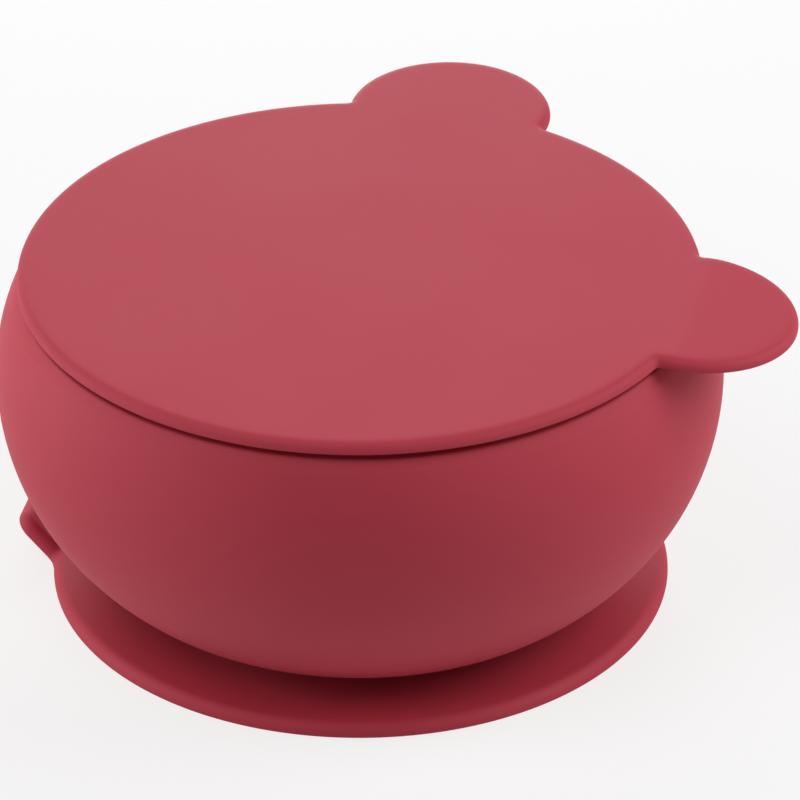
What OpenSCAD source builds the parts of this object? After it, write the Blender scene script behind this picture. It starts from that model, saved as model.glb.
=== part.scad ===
// Suction bowl with a press-on lid, moulded in silicone, for feeding small children.
// All sizes are millimetres. The table is z = 0, the bowl's axis is Z, the pull tab points along -X.

/* [Bowl] */
// Inside diameter of the mouth
mouth_d = 106; // [90:1:130]
// Height of the rim above the table
rim_h = 56.4; // [52:0.2:70]
// Width from the mouth to where the outside wall would reach the rim's height
rim_w = 3.7; // [2.8:0.1:5]
// Width of the flat seat round the mouth, on which the lid's landing rests
seat_w = 3.3; // [1.4:0.1:3.4]
// Drop of the rim's sloping shoulder, from the seat to the outside wall
shoulder_h = 1.9; // [1.5:0.1:3.5]
// Radius to which the shoulder is crowned
shoulder_round = 13; // [6:1:40]
// Rounding of the rim's inner edge
mouth_round = 0.6; // [0.3:0.1:0.8]
// Depth of the straight band inside the mouth, where the lid seals
mouth_band = 2.2; // [1.8:0.1:5]
// Bulge of the outside past the rim, at the widest line
belly_out = 4.3; // [3:0.1:10]
// Height of the widest line above the table
belly_h = 40; // [32:1:46]
// Thickness of the wall at the widest line
wall = 4; // [2.5:0.1:5.5]
// Thickness of the floor
floor_t = 3; // [2:0.1:5]
// Rounding between the inside wall and the floor
floor_round = 14; // [8:1:20]
// Diameter at which the outside wall would meet the underside
foot_d = 84; // [76:1:96]
// Rounding between the outside wall and the underside
foot_round = 10; // [6:1:14]

/* [Foot key] */
// Distance of the dovetail ring inside the edge of the flat underside
key_inset = 5.7; // [4.6:0.1:10]
// Width of the dovetail ring at its root
key_w = 5; // [3:0.5:8]
// Depth of the dovetail ring
key_h = 1.6; // [1:0.1:2]
// Widening of the dovetail ring on each side, from root to tip
key_flare = 0.5; // [0.2:0.1:0.8]
// Clearance round the dovetail ring
key_gap = 0.15; // [0.1:0.05:0.3]

/* [Suction base] */
// Outer diameter of the base
base_d = 105; // [94:0.2:120]
// Height of the base's top face, on which the bowl stands
base_h = 4.8; // [4.2:0.1:7]
// Thickness of the flange at its edge
flange_t = 2.3; // [1.8:0.1:3]
// Rounding of the flange's upper edge
flange_round = 1.9; // [1:0.1:2.4]
// Thickness of the neck's wall outside the groove for the dovetail ring
neck_wall = 3.4; // [2:0.1:3.8]
// Rounding between the flange and the neck
neck_round = 1.2; // [0.6:0.1:1.6]
// Width of the flat sealing lip round the underside
lip_w = 5.8; // [4:0.2:8]
// Rounding of the lip's outer edge at the table
lip_round = 0.3; // [0.2:0.1:0.4]
// Depth of the suction hollow at its centre
cup_h = 2.6; // [1.6:0.1:3]

/* [Pull tab] */
// Width of the tab at its bending line
tab_root_w = 21; // [16:1:26]
// Width of the tab at its tip
tab_tip_w = 15; // [12:1:18]
// Length of the tab from its bending line to its tip
tab_l = 8.8; // [7:0.2:12]
// Thickness of the tab
tab_t = 2.2; // [1.6:0.1:2.6]
// Rounding of the tab's two corners
tab_corner = 4; // [2:0.5:5]
// Angle at which the tab is moulded, up from the table
tab_rise = 35; // [20:1:45]
// Distance of the bending line inside the base's edge
tab_setback = 1.5; // [1.1:0.1:2]
// Clearance between the tab and the base
tab_gap = 0.3; // [0.2:0.05:0.4]

/* [Lid] */
// Overlap of the lid's disc past the mouth
lid_lap = 4; // [3:0.1:5.5]
// Thickness of the disc and its ears
lid_t = 1.8; // [1.4:0.1:3.5]
// Rounding of the upper edge of the disc and its ears
lid_round = 1.6; // [1:0.1:2.2]
// Height of the open gap that the landing leaves between the rim and the lid's edge
lid_gap = 1.2; // [0.8:0.1:2]
// Width of the landing past the mouth
land_w = 1.4; // [1:0.1:2]
// Diameter of an ear
ear_d = 35; // [26:1:42]
// Distance of an ear's centre inside the disc's edge
ear_inset = 0.4; // [0:0.1:4]
// Angle between the two ears
ear_spread = 88.4; // [70:0.2:120]
// Rounding of the inside corner between an ear and the disc
ear_fillet = 0.8; // [0.6:0.2:4]
// Turn of the lid on the bowl, from +X to the middle between the ears
lid_turn = 41.6; // [0:0.2:359.8]
// Depth of the plug ring
plug_h = 6; // [4:0.5:10]
// Thickness of the plug ring
plug_w = 2.4; // [1.6:0.1:4]
// Height of the sealing bead out from the plug ring
bead_out = 0.5; // [0.3:0.1:0.7]
// Clearance between the sealing bead and the mouth
plug_gap = 0.25; // [0.2:0.05:0.4]

/* [Hidden] */
$fn = 96;
silicone = [0.69, 0.32, 0.36];
// Reach of a cutting shape past the face that it cuts through
cut_over = 1;
// Least upright edge that the lid keeps under its rounding
edge_land = 0.2;

// Radius of an arc that starts upright and has moved sideways by run after a height of rise.
function side_arc(run, rise) = (run * run + rise * rise) / (2 * run);

// Points along an arc. first is 1 where the arc's first point would repeat the last one before it.
function arc(c, r, from, to, steps, first = 0) = [
    for (i = [first : steps])
        let (a = from + (to - from) * i / steps)
        c + r * [cos(a), sin(a)]
];

// Centre of a rounding of radius q between the inside of an arc and a level line under it.
function blend_c(c, r, level, q) = [c.x + sqrt(pow(r - q, 2) - pow(level + q - c.y, 2)), level + q];

// Direction from one point to another. Tangent arcs meet in the direction between their centres.
function heading(from, to) = atan2(to.y - from.y, to.x - from.x);

// Points along an arc of radius r that bulges to the right on the way from a to b, without a itself.
function crown(a, b, r, steps) =
    let (
        half = (b - a) / 2,
        c = a + half + sqrt(r * r / (half * half) - 1) * [-half.y, half.x]
    )
    arc(c, r, heading(c, a), heading(c, b), steps, 1);

// Outside of the bowl's wall: one arc above the widest line and one below it.
mouth_r = mouth_d / 2;
rim_r = mouth_r + rim_w;
bowl_r = rim_r + belly_out;
upper_r = side_arc(belly_out, rim_h - belly_h);
upper_c = [bowl_r - upper_r, belly_h];
lower_r = side_arc(bowl_r - foot_d / 2, belly_h - base_h);
lower_c = [bowl_r - lower_r, belly_h];
shoulder_a = asin((rim_h - shoulder_h - belly_h) / upper_r);
shoulder_p = upper_c + upper_r * [cos(shoulder_a), sin(shoulder_a)];
seat_r = mouth_r + seat_w;
foot_c = blend_c(lower_c, lower_r, base_h, foot_round);
foot_a = heading(lower_c, foot_c);

// Inside of the bowl's wall, up to the straight band of the mouth.
floor_h = base_h + floor_t;
band_h = rim_h - mouth_band;
inner_upper_r = side_arc(bowl_r - wall - mouth_r, band_h - belly_h);
inner_upper_c = [bowl_r - wall - inner_upper_r, belly_h];
inner_lower_r = lower_r - wall;
floor_c = blend_c(lower_c, inner_lower_r, floor_h, floor_round);
floor_a = heading(lower_c, floor_c);

// Suction base, from the dovetail ring outwards.
key_r = foot_c.x - key_inset;
neck_r = key_r + key_flare + key_gap + neck_wall;
neck_q = min(neck_round, base_h - flange_t);
base_r = base_d / 2;
flange_q = min(flange_round, flange_t - lip_round);
lip_r = base_r - lip_w;
cup_r = (lip_r * lip_r + cup_h * cup_h) / (2 * cup_h);

// Pull tab: its bending line, and the centre of each rounded corner.
tab_x = base_r - tab_setback;
tab_z = tab_t / 2;
tab_taper = atan2((tab_root_w - tab_tip_w) / 2, tab_l);
tab_corner_x = tab_l - tab_corner;
tab_corner_y = tab_root_w / 2 - tab_corner_x * tan(tab_taper) - tab_corner / cos(tab_taper);

// Lid: the underside of its edge, its ears, and the rounding of an inside corner beside an ear along +X.
lid_r = mouth_r + lid_lap;
lid_h = rim_h + lid_gap;
lid_q = min(lid_round, lid_t - edge_land);
ear_r = ear_d / 2;
ear_x = lid_r - ear_inset;
fillet_far = lid_r + ear_fillet;
fillet_near = ear_r + ear_fillet;
fillet_a = acos((pow(fillet_far, 2) + pow(ear_x, 2) - pow(fillet_near, 2)) / (2 * fillet_far * ear_x));
fillet_c = fillet_far * [cos(fillet_a), sin(fillet_a)];
bead_r = mouth_r - plug_gap;
plug_r = bead_r - bead_out;
bead_h = rim_h - mouth_round - bead_out;

// Section of the dovetail ring grown by a gap, from root to tip and back, inner side first.
function key_section(gap) = [
    [key_r - key_w - gap, base_h],
    [key_r - key_w - key_flare - gap, base_h - key_h - gap],
    [key_r + key_flare + gap, base_h - key_h - gap],
    [key_r + gap, base_h]
];

// Bowl with a belly, a rim with a seat and a sloping shoulder, a straight band for the lid's seal
// and a dovetail ring underneath.
module bowl() {
    color(silicone)
    rotate_extrude()
    polygon(concat(
        [[0, base_h]],
        key_section(0),
        arc(foot_c, foot_round, -90, foot_a, 8),
        arc(lower_c, lower_r, foot_a, 0, 16, 1),
        arc(upper_c, upper_r, 0, shoulder_a, 10, 1),
        crown(shoulder_p, [seat_r, rim_h], shoulder_round, 5),
        arc([mouth_r + mouth_round, rim_h - mouth_round], mouth_round, 90, 180, 4),
        arc(inner_upper_c, inner_upper_r, heading(inner_upper_c, [mouth_r, band_h]), 0, 10),
        arc(lower_c, inner_lower_r, 0, floor_a, 14, 1),
        arc(floor_c, floor_round, floor_a, -90, 8, 1),
        [[0, floor_h]]
    ));
}

// Suction cup: a flange with a flat lip and a shallow dome underneath, and a neck grooved for the bowl.
module suction_base() {
    groove = key_section(key_gap);
    color(silicone)
    difference() {
        rotate_extrude()
        polygon(concat(
            arc([0, cup_h - cup_r], cup_r, 90, acos(lip_r / cup_r), 10),
            arc([base_r - lip_round, lip_round], lip_round, -90, 0, 3),
            arc([base_r - flange_q, flange_t - flange_q], flange_q, 0, 90, 6),
            arc([neck_r + neck_q, flange_t + neck_q], neck_q, 270, 180, 5),
            [[neck_r, base_h]],
            [for (i = [3 : -1 : 0]) groove[i]],
            [[0, base_h]]
        ));
        tab_notch();
    }
}

// Room in the base's edge for the tab's rounded root, from flat on the table to upright.
module tab_notch() {
    notch_r = tab_t / 2 + tab_gap;
    notch_w = tab_root_w + 2 * tab_gap;
    translate([-tab_x, 0, tab_z])
    rotate([90, 0, 0])
    cylinder(r = notch_r, h = notch_w, center = true);
    translate([-base_r - cut_over, -notch_w / 2, -cut_over])
    cube([tab_setback + cut_over, notch_w, base_h]);
    translate([-tab_x - tab_setback, -notch_w / 2, tab_z])
    cube([tab_setback + notch_r, notch_w, base_h]);
}

// Tapered tongue with a rounded root and tip, moulded at a slant so that a finger gets under it.
module pull_tab() {
    color(silicone)
    rotate([0, 0, 180])
    translate([tab_x, 0, tab_z])
    rotate([0, -tab_rise, 0])
    intersection() {
        linear_extrude(2 * tab_t, center = true)
        polygon(concat(
            [[-tab_t, tab_root_w / 2], [-tab_t, -tab_root_w / 2], [0, -tab_root_w / 2]],
            arc([tab_corner_x, -tab_corner_y], tab_corner, tab_taper - 90, 0, 6),
            arc([tab_corner_x, tab_corner_y], tab_corner, 0, 90 - tab_taper, 6),
            [[0, tab_root_w / 2]]
        ));
        rotate([90, 0, 0])
        linear_extrude(tab_root_w + cut_over, center = true)
        polygon(concat(
            arc([0, 0], tab_t / 2, 90, 270, 10),
            arc([tab_l - tab_t / 2, 0], tab_t / 2, -90, 90, 10)
        ));
    }
}

// Outline of the lid's disc and ears, with the inside corners rounded.
module lid_outline() {
    circle(lid_r);
    for (side = [-1, 1], edge = [-1, 1])
        rotate(side * ear_spread / 2) {
            corner_c = [fillet_c.x, edge * fillet_c.y];
            translate([ear_x, 0])
            circle(ear_r);
            difference() {
                polygon([[0, 0], [ear_x, 0], corner_c]);
                translate(corner_c)
                circle(ear_fillet);
            }
        }
}

// Flat round top with a rounded edge.
module rounded_top(r) {
    rotate_extrude() {
        square([r - lid_q, lid_q]);
        translate([r - lid_q, 0])
        intersection() {
            circle(lid_q);
            square(lid_q);
        }
    }
}

// Lid: a disc with two round ears, held just clear of the rim's edge, and a plug ring that fits the mouth.
module lid() {
    color(silicone)
    rotate([0, 0, lid_turn]) {
        translate([0, 0, lid_h])
        linear_extrude(lid_t - lid_q)
        lid_outline();
        translate([0, 0, lid_h + lid_t - lid_q]) {
            rounded_top(lid_r);
            for (side = [-1, 1])
                rotate([0, 0, side * ear_spread / 2])
                translate([ear_x, 0, 0])
                rounded_top(ear_r);
        }
        plug_ring();
    }
}

// Ring under the lid's disc, rooted halfway into its edge height, with a sealing bead just below the rim
// and a landing that rests on the rim's seat.
module plug_ring() {
    root_h = lid_h + (lid_t - lid_q) / 2;
    land_r = mouth_r + land_w;
    rotate_extrude()
    polygon(concat(
        [[plug_r - plug_w, root_h], [plug_r - plug_w, rim_h - plug_h], [plug_r, rim_h - plug_h]],
        arc([plug_r, bead_h], bead_out, -90, 90, 8),
        [[plug_r, rim_h], [land_r, rim_h], [land_r, root_h]]
    ));
}

bowl();
suction_base();
pull_tab();
lid();
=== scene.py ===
import math
import bmesh
import bpy
from mathutils import Matrix, Vector


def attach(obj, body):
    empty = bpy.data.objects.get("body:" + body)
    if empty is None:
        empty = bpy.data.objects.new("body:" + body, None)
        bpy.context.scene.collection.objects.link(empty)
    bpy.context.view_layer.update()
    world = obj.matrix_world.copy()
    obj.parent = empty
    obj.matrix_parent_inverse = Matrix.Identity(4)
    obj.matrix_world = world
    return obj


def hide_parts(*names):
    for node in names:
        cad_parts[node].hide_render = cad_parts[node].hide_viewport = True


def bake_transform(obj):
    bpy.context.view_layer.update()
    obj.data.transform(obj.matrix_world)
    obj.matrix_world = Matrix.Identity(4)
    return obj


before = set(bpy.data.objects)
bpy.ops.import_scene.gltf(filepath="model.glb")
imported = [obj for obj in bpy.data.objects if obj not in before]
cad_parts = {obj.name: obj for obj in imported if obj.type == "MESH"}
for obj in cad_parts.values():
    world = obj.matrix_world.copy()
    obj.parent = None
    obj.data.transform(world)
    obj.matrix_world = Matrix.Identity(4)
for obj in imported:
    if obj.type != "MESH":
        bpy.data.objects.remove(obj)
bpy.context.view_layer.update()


# Suction base with its pull tab: one soft silicone moulding. A round flange has a flat sealing lip
# and a shallow cup underneath, and a low neck that the bowl is keyed into. A tongue on its edge is
# moulded at a slant, so that a finger gets under it and peels the lip off the table.
mm = 0.001
touch = 0.001
weld = 0.0005
round_steps = 192
soft_steps = 10
fine_steps = 4
flat_edge = 0.2
upright = (0, 0, 1)
section = (0, -1, 0)
base_r = 52.5
base_h = 4.8
flange_t = 2.3
flange_round = 1.9
lip_r = 46.7
lip_round = 0.3
cup_h = 2.6
neck_r = 37.13
neck_round = 1.2
key_r = 33.08
key_w = 5.0
key_h = 1.6
key_flare = 0.5
key_gap = 0.15
tab_x = 51.0
tab_z = 1.1
tab_half_w = 10.5
tab_tip_half_w = 7.5
tab_l = 8.8
tab_corner = 4.0
tab_root_round = 1.6
tab_rise = math.radians(35)
tab_bend_l = 2.0
base_colour = (0.415, 0.0145, 0.038)
base_warmer = (0.43, 0.0155, 0.04)


def first_point(bm, x, y, z):
    return bm.verts.new((x * mm, y * mm, z * mm))


def straight_to(bm, end, x, y, z):
    end = bmesh.ops.extrude_vert_indiv(bm, verts=[end])["verts"][0]
    end.co = Vector((x, y, z)) * mm
    return end


def arc_about(bm, end, centre, axis, degrees, steps):
    swept = bmesh.ops.spin(bm, geom=[end], cent=Vector(centre) * mm, axis=axis,
                           angle=math.radians(degrees), steps=steps)
    return [v for v in swept["geom_last"] if isinstance(v, bmesh.types.BMVert)][0]


def turn_round(bm):
    wire = [e for e in bm.edges if e.is_wire]
    points = [v for v in bm.verts if v.is_wire]
    bmesh.ops.spin(bm, geom=points + wire, cent=(0, 0, 0), axis=upright, angle=math.tau,
                   steps=round_steps, use_merge=True)
    bmesh.ops.remove_doubles(bm, verts=bm.verts, dist=weld * mm)


def mirror_plan(bm):
    bmesh.ops.mirror(bm, geom=bm.verts[:] + bm.edges[:], matrix=Matrix.Identity(4),
                     merge_dist=touch * mm, axis="Y")


def round_edges(bm, edges, rounding, segments):
    bmesh.ops.bevel(bm, geom=edges, offset=rounding * mm, offset_type="OFFSET", affect="EDGES",
                    segments=segments, profile=0.5, material=-1)


def flat_face(bm, height):
    level = [f for f in bm.faces
             if abs(f.calc_center_median().z - height * mm) < touch * mm]
    return max(level, key=lambda f: f.calc_area())


def edges_at(bm, height):
    return [e for e in bm.edges if all(abs(v.co.z - height * mm) < touch * mm for v in e.verts)]


def plate_from_plan(bm, thickness):
    plan = bmesh.ops.edgeloop_fill(bm, edges=bm.edges[:])["faces"][0]
    raised = bmesh.ops.extrude_face_region(bm, geom=[plan], use_keep_orig=True)["geom"]
    bmesh.ops.translate(bm, vec=(0, 0, thickness * mm),
                        verts=[v for v in raised if isinstance(v, bmesh.types.BMVert)])
    bmesh.ops.recalc_face_normals(bm, faces=bm.faces)


def step_in(bm, face, inwards, upwards):
    bmesh.ops.inset_region(bm, faces=[face], thickness=inwards * mm, depth=upwards * mm,
                           use_even_offset=True)


def round_rim(bm, height, rounding, segments):
    round_edges(bm, flat_face(bm, height).edges[:], rounding, segments)
    step_in(bm, flat_face(bm, height), flat_edge, 0)


def open_flat(bm, height):
    bmesh.ops.delete(bm, geom=[flat_face(bm, height)], context="FACES_ONLY")


def close_flat(bm, height):
    ring = [e for e in edges_at(bm, height) if e.is_boundary]
    bmesh.ops.triangle_fill(bm, edges=ring, use_beauty=True)


def bend_tongue(bm, along, start, length, bend, neutral, half_w):
    cuts = 8
    fade_w = 2
    radius = length / bend
    across = Vector((-along.y, along.x, 0))
    for cut in range(cuts + 1):
        bmesh.ops.bisect_plane(bm, geom=bm.verts[:] + bm.edges[:] + bm.faces[:], dist=touch * mm,
                               plane_co=along * (start + length * cut / cuts) * mm,
                               plane_no=along)
    for v in bm.verts:
        past = v.co.dot(along) / mm - start
        aside = min(max((abs(v.co.dot(across)) / mm - half_w) / fade_w, 0), 1)
        hold = 1 - aside * aside * (3 - 2 * aside)
        if past > 0 and hold > 0:
            angle = bend * min(past / length, 1)
            sine, cosine = math.sin(angle), math.cos(angle)
            straight = max(past - length, 0)
            lift = v.co.z / mm - neutral
            ahead = start + radius * sine + straight * cosine - lift * sine
            height = neutral + radius * (1 - cosine) + straight * sine + lift * cosine
            bent = along * ahead * mm + across * v.co.dot(across) + Vector((0, 0, height * mm))
            v.co = v.co.lerp(bent, hold)


def finished(bm, name):
    bmesh.ops.recalc_face_normals(bm, faces=bm.faces)
    for face in bm.faces:
        face.smooth = True
    mesh = bpy.data.meshes.new(name)
    bm.to_mesh(mesh)
    bm.free()
    piece = bpy.data.objects.new(name, mesh)
    bpy.context.scene.collection.objects.link(piece)
    return piece


def soft_silicone(name, colour, warmer, offset):
    material = bpy.data.materials.new(name)
    material.use_nodes = True
    nodes = material.node_tree.nodes
    link = material.node_tree.links.new
    shader = nodes["Principled BSDF"]
    shader.inputs["IOR"].default_value = 1.41
    shader.inputs["Specular IOR Level"].default_value = 1.0
    place = nodes.new("ShaderNodeTexCoord")
    shift = nodes.new("ShaderNodeMapping")
    shift.inputs["Location"].default_value = offset
    link(place.outputs["Object"], shift.inputs["Vector"])
    clouds = nodes.new("ShaderNodeTexNoise")
    clouds.inputs["Scale"].default_value = 45
    clouds.inputs["Detail"].default_value = 3
    link(shift.outputs["Vector"], clouds.inputs["Vector"])
    tint = nodes.new("ShaderNodeMix")
    tint.data_type = "RGBA"
    tint.inputs["A"].default_value = (*colour, 1)
    tint.inputs["B"].default_value = (*warmer, 1)
    link(clouds.outputs["Fac"], tint.inputs["Factor"])
    link(tint.outputs["Result"], shader.inputs["Base Color"])
    dull = nodes.new("ShaderNodeMapRange")
    dull.inputs["To Min"].default_value = 0.73
    dull.inputs["To Max"].default_value = 0.79
    link(clouds.outputs["Fac"], dull.inputs["Value"])
    link(dull.outputs["Result"], shader.inputs["Roughness"])
    grain = nodes.new("ShaderNodeTexNoise")
    grain.inputs["Scale"].default_value = 2600
    grain.inputs["Detail"].default_value = 2
    link(shift.outputs["Vector"], grain.inputs["Vector"])
    skin = nodes.new("ShaderNodeBump")
    skin.inputs["Strength"].default_value = 0.12
    skin.inputs["Distance"].default_value = 0.00004
    link(grain.outputs["Fac"], skin.inputs["Height"])
    link(skin.outputs["Normal"], shader.inputs["Normal"])
    return material


taper = math.atan2(tab_half_w - tab_tip_half_w, tab_l)
taper_deg = math.degrees(taper)
side_out = Vector((-math.sin(taper), math.cos(taper)))
side_on = Vector((-math.cos(taper), -math.sin(taper)))
near = Vector((-tab_x, tab_half_w)) + tab_root_round * side_out
half_b = near.dot(side_on)
run = -half_b + math.sqrt(half_b ** 2 - near.length_squared + (base_r + tab_root_round) ** 2)
root_c = near + run * side_on
root_a = math.degrees(math.atan2(root_c.y, root_c.x))
corner_x = tab_x + tab_l - tab_corner
corner_y = tab_half_w - (tab_l - tab_corner) * math.tan(taper) - tab_corner / math.cos(taper)
corner_at = Vector((-corner_x, corner_y)) + tab_corner * side_out
bm = bmesh.new()
end = first_point(bm, base_r, 0, 0)
end = arc_about(bm, end, (0, 0, 0), upright, root_a, 150)
end = arc_about(bm, end, (*root_c, 0), upright, 90 + taper_deg - root_a, 8)
end = straight_to(bm, end, *corner_at, 0)
end = arc_about(bm, end, (-corner_x, corner_y, 0), upright, 90 - taper_deg, 12)
end = straight_to(bm, end, -tab_x - tab_l, 0, 0)
mirror_plan(bm)
plate_from_plan(bm, flange_t)
round_rim(bm, flange_t, flange_round, soft_steps)
round_rim(bm, 0, lip_round, fine_steps)
open_flat(bm, flange_t)
open_flat(bm, 0)
cup_r = (lip_r ** 2 + cup_h ** 2) / (2 * cup_h)
cup_a = math.degrees(math.asin(lip_r / cup_r))
key_z = base_h - key_h - key_gap
end = first_point(bm, 0, 0, cup_h)
end = arc_about(bm, end, (0, 0, cup_h - cup_r), section, -cup_a, 14)
end = straight_to(bm, end, lip_r + lip_round, 0, 0)
end = first_point(bm, neck_r + neck_round, 0, flange_t)
end = arc_about(bm, end, (neck_r + neck_round, 0, flange_t + neck_round), section, -90, 6)
end = straight_to(bm, end, neck_r, 0, base_h)
end = straight_to(bm, end, key_r + key_gap, 0, base_h)
end = straight_to(bm, end, key_r + key_flare + key_gap, 0, key_z)
end = straight_to(bm, end, key_r - key_w - key_flare - key_gap, 0, key_z)
end = straight_to(bm, end, key_r - key_w - key_gap, 0, base_h)
end = straight_to(bm, end, 0, 0, base_h)
turn_round(bm)
close_flat(bm, flange_t)
close_flat(bm, 0)
bend_tongue(bm, Vector((-1, 0, 0)), tab_x - tab_bend_l / 2, tab_bend_l, tab_rise, tab_z, tab_half_w)
base = finished(bm, "base_and_tab")
base_silicone = soft_silicone("base_silicone_soft", base_colour, base_warmer, (0.3, 0.1, 0))
base.data.materials.append(base_silicone)
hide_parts("suction_base", "pull_tab")
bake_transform(base)


# Bowl: one thick silicone moulding with a round belly. Its rim has a flat seat for the lid and a
# sloping shoulder, with the mould's parting edge under it. A dovetail ring on the underside is held
# in the base's groove.
mouth_r = 53.0
mouth_round = 0.6
mouth_band = 2.2
rim_h = 56.4
rim_r = 56.7
seat_r = 56.3
seat_round = 0.3
shoulder_h = 1.9
shoulder_round = 13.0
parting_round = 0.1
belly_r = 61.0
belly_h = 40.0
wall = 4.0
floor_t = 3.0
floor_round = 14.0
floor_edge = 0.5
foot_r = 42.0
foot_round = 10.0
bowl_colour = (0.415, 0.0145, 0.038)
bowl_warmer = (0.43, 0.0155, 0.04)


def side_arc(run, rise):
    return (run * run + rise * rise) / (2 * run)


def degrees_to(centre, x, z):
    return math.degrees(math.atan2(z - centre[1], x - centre[0]))


upper_r = side_arc(belly_r - rim_r, rim_h - belly_h)
upper_c = (belly_r - upper_r, belly_h)
lower_r = side_arc(belly_r - foot_r, belly_h - base_h)
lower_c = (belly_r - lower_r, belly_h)
foot_z = base_h + foot_round
foot_x = lower_c[0] + math.sqrt((lower_r - foot_round) ** 2 - (foot_z - belly_h) ** 2)
foot_a = degrees_to(lower_c, foot_x, foot_z)
shoulder_z = rim_h - shoulder_h
shoulder_x = upper_c[0] + math.sqrt(upper_r ** 2 - (shoulder_z - belly_h) ** 2)
shoulder_a = degrees_to(upper_c, shoulder_x, shoulder_z)
half = Vector((seat_r - shoulder_x, shoulder_h)) / 2
crown_c = Vector((shoulder_x, shoulder_z)) + half
crown_c += math.sqrt(shoulder_round ** 2 / half.length_squared - 1) * Vector((-half.y, half.x))
crown_a = degrees_to(crown_c, seat_r, rim_h) - degrees_to(crown_c, shoulder_x, shoulder_z)
band_h = rim_h - mouth_band
inner_r = side_arc(belly_r - wall - mouth_r, band_h - belly_h)
inner_c = (belly_r - wall - inner_r, belly_h)
inner_a = degrees_to(inner_c, mouth_r, band_h)
floor_h = base_h + floor_t
floor_z = floor_h + floor_round
floor_x = lower_c[0] + math.sqrt((lower_r - wall - floor_round) ** 2 - (floor_z - belly_h) ** 2)
floor_a = degrees_to(lower_c, floor_x, floor_z)
bm = bmesh.new()
end = first_point(bm, 0, 0, base_h)
end = straight_to(bm, end, key_r - key_w, 0, base_h)
end = straight_to(bm, end, key_r - key_w - key_flare, 0, base_h - key_h)
end = straight_to(bm, end, key_r + key_flare, 0, base_h - key_h)
end = straight_to(bm, end, key_r, 0, base_h)
end = straight_to(bm, end, foot_x, 0, base_h)
end = arc_about(bm, end, (foot_x, 0, foot_z), section, 90 + foot_a, 14)
end = arc_about(bm, end, (lower_c[0], 0, belly_h), section, -foot_a, 36)
end = arc_about(bm, end, (upper_c[0], 0, belly_h), section, shoulder_a, 30)
end = arc_about(bm, end, (crown_c.x, 0, crown_c.y), section, crown_a, 5)
end = straight_to(bm, end, mouth_r + mouth_round, 0, rim_h)
end = arc_about(bm, end, (mouth_r + mouth_round, 0, rim_h - mouth_round), section, 90, 6)
end = straight_to(bm, end, mouth_r, 0, band_h)
end = arc_about(bm, end, (inner_c[0], 0, belly_h), section, -inner_a, 18)
end = arc_about(bm, end, (lower_c[0], 0, belly_h), section, floor_a, 30)
end = arc_about(bm, end, (floor_x, 0, floor_z), section, -90 - floor_a, 14)
end = straight_to(bm, end, floor_x - floor_edge, 0, floor_h)
end = straight_to(bm, end, 0, 0, floor_h)
turn_round(bm)
for r, z, rounding in ((shoulder_x, shoulder_z, parting_round), (seat_r, rim_h, seat_round)):
    ring = [e for e in bm.edges
            if all(abs(v.co.xy.length - r * mm) + abs(v.co.z - z * mm) < 3 * touch * mm
                   for v in e.verts)]
    round_edges(bm, ring, rounding, fine_steps)
bowl = finished(bm, "bowl_moulding")
bowl_silicone = soft_silicone("bowl_silicone_soft", bowl_colour, bowl_warmer, (0, 0, 0))
bowl.data.materials.append(bowl_silicone)
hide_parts("bowl")
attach(bowl, "bowl")


# Lid: one silicone moulding, a flat disc with two round ears to lift it by and a softly rounded
# upper edge. A landing under the disc rests on the bowl's seat, a plug ring sits in the mouth, and
# a bead round the ring seals it.
lid_r = 57.0
lid_t = 1.8
lid_gap = 1.2
lid_round = 1.4
lid_under_round = 0.1
roll_w = 1.5
roll_r = 10.0
roll_a = math.radians(5)
roll_rings = 6
lid_turn = math.radians(41.6)
land_r = 54.4
ear_r = 17.5
ear_x = 56.6
ear_half_spread = 44.2
ear_fillet = 0.8
ear_droop = math.radians(-5)
ear_bend_l = 3.0
plug_r = 52.25
plug_w = 2.4
plug_h = 6.0
plug_edge = 0.4
plug_root = 0.5
root_edge = 0.3
bead_out = 0.5
lid_colour = (0.415, 0.0145, 0.038)
lid_warmer = (0.43, 0.0155, 0.04)


def corner_between(opposite, beside, other):
    cosine = (beside ** 2 + other ** 2 - opposite ** 2) / (2 * beside * other)
    return math.degrees(math.acos(cosine))


def out_along(degrees, distance, z):
    a = math.radians(degrees)
    return (distance * math.cos(a), distance * math.sin(a), z)


lid_h = rim_h + lid_gap
far = lid_r + ear_fillet
close = ear_r + ear_fillet
at_axis = corner_between(close, far, ear_x)
at_ear = corner_between(far, close, ear_x)
at_fillet = 180 - at_axis - at_ear
ear_starts = ear_half_spread - at_axis
ear_ends = ear_half_spread + at_axis
bm = bmesh.new()
end = first_point(bm, lid_r, 0, lid_h)
end = arc_about(bm, end, (0, 0, lid_h), upright, ear_starts, 36)
end = arc_about(bm, end, out_along(ear_starts, far, lid_h), upright, -at_fillet, 8)
end = arc_about(bm, end, out_along(ear_half_spread, ear_x, lid_h), upright, 360 - 2 * at_ear, 72)
end = arc_about(bm, end, out_along(ear_ends, far, lid_h), upright, -at_fillet, 8)
end = arc_about(bm, end, (0, 0, lid_h), upright, 180 - ear_ends, 110)
mirror_plan(bm)
slope_h = roll_w * math.tan(roll_a)
side_z = lid_h + lid_t - slope_h - roll_r * (1 - math.cos(roll_a))
plate_from_plan(bm, side_z - lid_h)
top = flat_face(bm, side_z)
step_in(bm, top, roll_w, slope_h)
for ring in range(roll_rings):
    outer = roll_a * (1 - ring / roll_rings)
    inner = roll_a * (1 - (ring + 1) / roll_rings)
    step_in(bm, top, roll_r * (math.sin(outer) - math.sin(inner)),
            roll_r * (math.cos(inner) - math.cos(outer)))
round_edges(bm, edges_at(bm, side_z), lid_round, soft_steps)
round_rim(bm, lid_h, lid_under_round, fine_steps)
open_flat(bm, lid_h)
plug_in = plug_r - plug_w
plug_z = rim_h - plug_h
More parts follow.
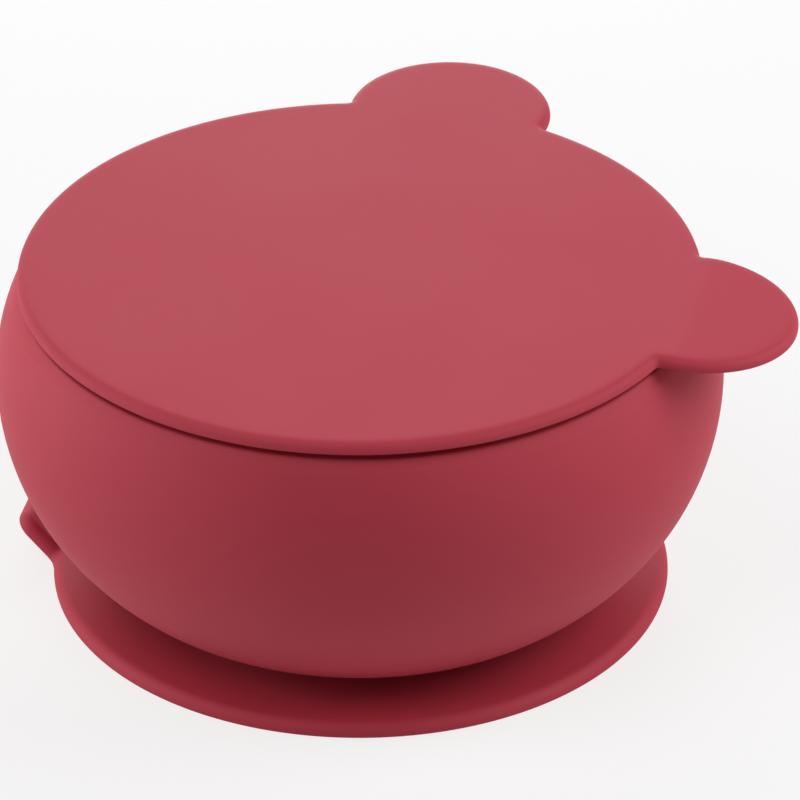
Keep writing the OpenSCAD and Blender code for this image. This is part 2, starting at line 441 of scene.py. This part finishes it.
bead_z = rim_h - mouth_round - bead_out
end = first_point(bm, land_r + plug_root / 2, 0, lid_h)
end = straight_to(bm, end, land_r, 0, lid_h - plug_root / 2)
end = straight_to(bm, end, land_r, 0, rim_h + plug_root / 4)
end = straight_to(bm, end, land_r - plug_root / 4, 0, rim_h)
end = straight_to(bm, end, plug_r + plug_root / 2, 0, rim_h)
end = straight_to(bm, end, plug_r, 0, rim_h - plug_root / 2)
end = straight_to(bm, end, plug_r, 0, bead_z + bead_out)
end = arc_about(bm, end, (plug_r, 0, bead_z), section, -180, 10)
end = straight_to(bm, end, plug_r, 0, plug_z + plug_edge)
end = arc_about(bm, end, (plug_r - plug_edge, 0, plug_z + plug_edge), section, -90, 5)
end = straight_to(bm, end, plug_in + plug_edge, 0, plug_z)
end = arc_about(bm, end, (plug_in + plug_edge, 0, plug_z + plug_edge), section, -90, 5)
end = straight_to(bm, end, plug_in, 0, lid_h - plug_root)
end = arc_about(bm, end, (plug_in - plug_root, 0, lid_h - plug_root), section, 90, 5)
end = straight_to(bm, end, plug_in - plug_root - root_edge, 0, lid_h)
end = straight_to(bm, end, 0, 0, lid_h)
turn_round(bm)
close_flat(bm, lid_h)
bmesh.ops.triangulate(bm, faces=[flat_face(bm, lid_h + lid_t)], ngon_method="BEAUTY")
bend_tongue(bm, Vector(out_along(-ear_half_spread, 1, 0)), lid_r - ear_bend_l / 2, ear_bend_l,
            ear_droop, lid_h + lid_t / 2, lid_r)
bmesh.ops.rotate(bm, verts=bm.verts, cent=(0, 0, 0), matrix=Matrix.Rotation(lid_turn, 3, "Z"))
lid = finished(bm, "lid_moulding")
lid_silicone = soft_silicone("lid_silicone_soft", lid_colour, lid_warmer, (0.1, 0.2, 0))
lid.data.materials.append(lid_silicone)
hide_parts("lid")
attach(lid, "lid")


# Table: a flat top covered with plain white paper. It keeps the bowl's shadow, and away from the
# bowl it turns as white as the room, so that no horizon shows.
table_half = 3.0
table_drop = 0.00005
paper_colour = (0.9, 0.9, 0.9, 1)
shadow_reach = 0.2
white_from = 0.42
white_near = 0.75
white_far = 1.0


def seen_rays(tree):
    rays = tree.nodes.new("ShaderNodeLightPath")
    seen = rays.outputs["Is Camera Ray"]
    for kind in ("Is Glossy Ray", "Is Transmission Ray"):
        either = tree.nodes.new("ShaderNodeMath")
        either.operation = "MAXIMUM"
        tree.links.new(seen, either.inputs[0])
        tree.links.new(rays.outputs[kind], either.inputs[1])
        seen = either.outputs[0]
    return seen


table_mesh = bpy.data.meshes.new("table_top")
bm = bmesh.new()
bmesh.ops.create_grid(bm, x_segments=2, y_segments=2, size=table_half)
bm.to_mesh(table_mesh)
bm.free()
table = bpy.data.objects.new("table_top", table_mesh)
bpy.context.scene.collection.objects.link(table)
table.location.z = -table_drop
paper = bpy.data.materials.new("white_paper")
paper.use_nodes = True
nodes = paper.node_tree.nodes
link = paper.node_tree.links.new
nodes.remove(nodes["Principled BSDF"])
plain = nodes.new("ShaderNodeBsdfDiffuse")
plain.inputs["Color"].default_value = paper_colour
glow = nodes.new("ShaderNodeEmission")
glow.inputs["Strength"].default_value = 1.0
spot = nodes.new("ShaderNodeTexCoord")
away = nodes.new("ShaderNodeVectorMath")
away.operation = "LENGTH"
link(spot.outputs["Object"], away.inputs[0])
fade = nodes.new("ShaderNodeMapRange")
fade.interpolation_type = "SMOOTHSTEP"
fade.inputs["From Min"].default_value = shadow_reach
fade.inputs["From Max"].default_value = white_from
fade.inputs["To Min"].default_value = white_near
fade.inputs["To Max"].default_value = white_far
link(away.outputs["Value"], fade.inputs["Value"])
white = nodes.new("ShaderNodeMixShader")
link(fade.outputs["Result"], white.inputs["Fac"])
link(plain.outputs[0], white.inputs[1])
link(glow.outputs[0], white.inputs[2])
sheet = nodes.new("ShaderNodeMixShader")
link(seen_rays(paper.node_tree), sheet.inputs["Fac"])
link(plain.outputs[0], sheet.inputs[1])
link(white.outputs[0], sheet.inputs[2])
link(sheet.outputs[0], nodes["Material Output"].inputs["Surface"])
table_mesh.materials.append(paper)


# Studio: a plain white room with six soft round lamps on stands round the bowl, the strongest at
# the right and behind it. The camera looks down from the front, a little to the right of the bowl.
view_a = 11.5
view_rise = 31.489
aim_right = 6.69
aim_up = 28.14
stand_off = 1067.1
lamp_aim_z = 0.03
lamp_away = 0.5
lamps = (
    ("lamp_left", -90, 11, 0.24, 1.0),
    ("lamp_right", 90, 35, 0.36, 1.46),
    ("lamp_back", 180, 11, 0.24, 1.36),
    ("lamp_back_left", -135, 30, 0.36, 0.42),
    ("lamp_over", -45, 60, 0.36, 0.85),
    ("lamp_front", 45, 11, 0.24, 0.2),
)


def towards(azimuth, elevation):
    a, e = math.radians(azimuth), math.radians(elevation)
    return Vector((math.sin(a) * math.cos(e), -math.cos(a) * math.cos(e), math.sin(e)))


room = bpy.data.worlds.new("studio")
room.use_nodes = True
bpy.context.scene.world = room
back = room.node_tree.nodes["Background"]
back.inputs["Color"].default_value = (1, 1, 1, 1)
room.node_tree.links.new(seen_rays(room.node_tree), back.inputs["Strength"])
for name, turn, rise, size, power in lamps:
    lamp = bpy.data.lights.new(name, "AREA")
    lamp.shape = "DISK"
    lamp.size = size
    lamp.energy = power
    holder = bpy.data.objects.new(name, lamp)
    way = towards(view_a + turn, rise)
    holder.location = way * lamp_away + Vector((0, 0, lamp_aim_z))
    holder.rotation_euler = (-way).to_track_quat("-Z", "Y").to_euler()
    bpy.context.scene.collection.objects.link(holder)

camera = bpy.data.cameras.new("camera")
camera.lens = 280.44
camera.sensor_width = 36
camera.clip_start = 0.05
camera.clip_end = 20
stand = bpy.data.objects.new("camera", camera)
behind = towards(view_a, view_rise)
right = Vector((math.cos(math.radians(view_a)), math.sin(math.radians(view_a)), 0))
up = behind.cross(right)
stand.matrix_world = Matrix((right, up, behind)).transposed().to_4x4()
stand.location = (aim_right * right + aim_up * up + stand_off * behind) * mm
bpy.context.scene.collection.objects.link(stand)
bpy.context.scene.camera = stand
bpy.context.scene.view_settings.view_transform = "Standard"
